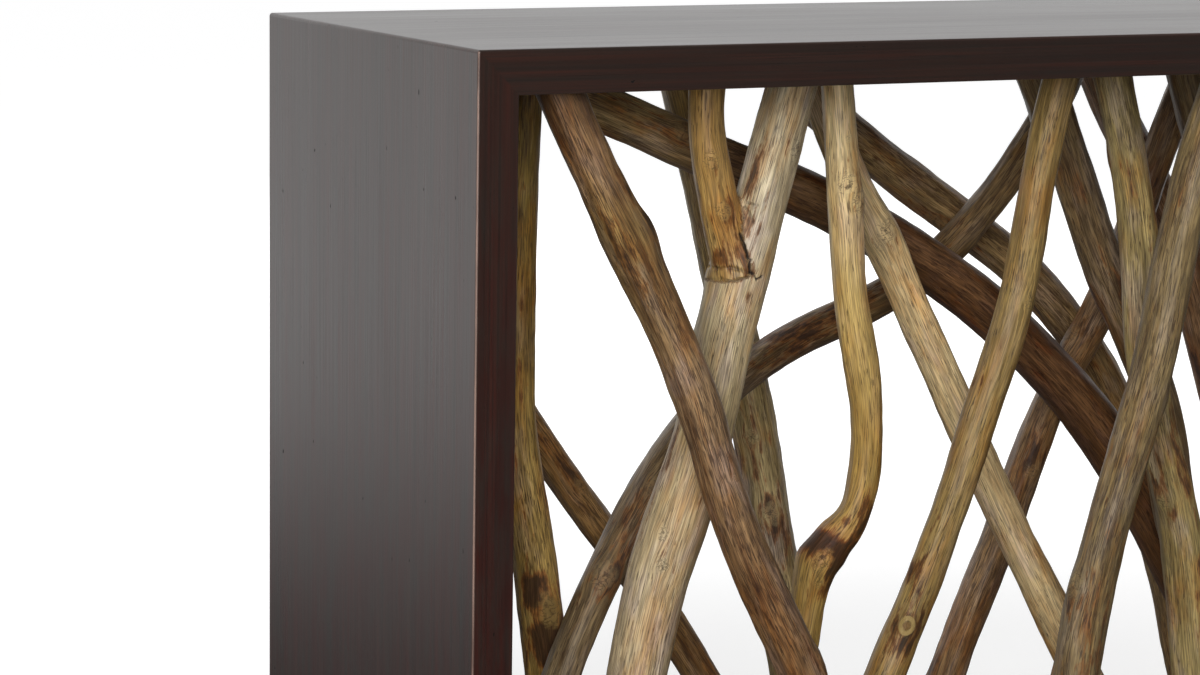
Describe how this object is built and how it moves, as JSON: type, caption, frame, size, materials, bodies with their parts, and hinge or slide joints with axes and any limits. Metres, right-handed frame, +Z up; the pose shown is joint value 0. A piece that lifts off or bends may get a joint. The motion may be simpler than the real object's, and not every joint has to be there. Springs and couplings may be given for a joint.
{
  "type": "console table",
  "caption": "Console table: a dark stained, mitred box frame filled from board to board with peeled, criss-crossing teak branches, forked and curved, in several layers of depth.",
  "frame": {"origin": "on the floor, under the middle of the table", "axes": "+X along the width to the right, +Y from the front to the back, +Z up"},
  "size_m": [1.524, 0.457, 0.813],
  "materials": {
    "stained_frame": "dark brown stain under satin lacquer",
    "teak_honey": "peeled, satin, pale",
    "teak_russet": "peeled, satin, brown",
    "teak_olive": "peeled, satin, olive",
    "teak_umber": "peeled, satin, dark",
    "beech_dowel": "plain turned dowel",
    "spline_ply": "raw plywood strip",
    "nylon_glide": "brown nylon",
    "nail_steel": "bright nail"
  },
  "bodies": {
    "root": {"back_branch_1": "teak_olive", "back_branch_2": "teak_olive", "back_branch_3": "teak_umber", "back_branch_4": "teak_russet", "back_branch_5": "teak_honey", "bottom_board": "stained_frame", "bottom_dowels": "beech_dowel", "foot_glides": "nylon_glide", "forked_branch_1": "teak_honey", "forked_branch_2": "teak_olive", "forward_branch_1": "teak_honey", "forward_branch_2": "teak_olive", "forward_branch_3": "teak_russet", "front_branch_1": "teak_russet", "front_branch_2": "teak_honey", "front_branch_3": "teak_umber", "front_branch_4": "teak_honey", "front_branch_5": "teak_russet", "front_branch_6": "teak_olive", "glide_nails": "nail_steel", "left_board": "stained_frame", "left_dowels": "beech_dowel", "middle_branch_1": "teak_olive", "middle_branch_2": "teak_honey", "middle_branch_3": "teak_umber", "middle_branch_4": "teak_russet", "middle_branch_5": "teak_honey", "mitre_spline_bottom_left": "spline_ply", "mitre_spline_bottom_right": "spline_ply", "mitre_spline_top_left": "spline_ply", "mitre_spline_top_right": "spline_ply", "rear_branch_1": "teak_umber", "rear_branch_2": "teak_umber", "rear_branch_3": "teak_russet", "rear_branch_4": "teak_umber", "rear_branch_5": "teak_olive", "rear_branch_6": "teak_russet", "rear_branch_7": "teak_honey", "rear_branch_8": "teak_umber", "right_board": "stained_frame", "right_dowels": "beech_dowel", "top_board": "stained_frame", "top_dowels": "beech_dowel"}
  },
  "joints": []
}
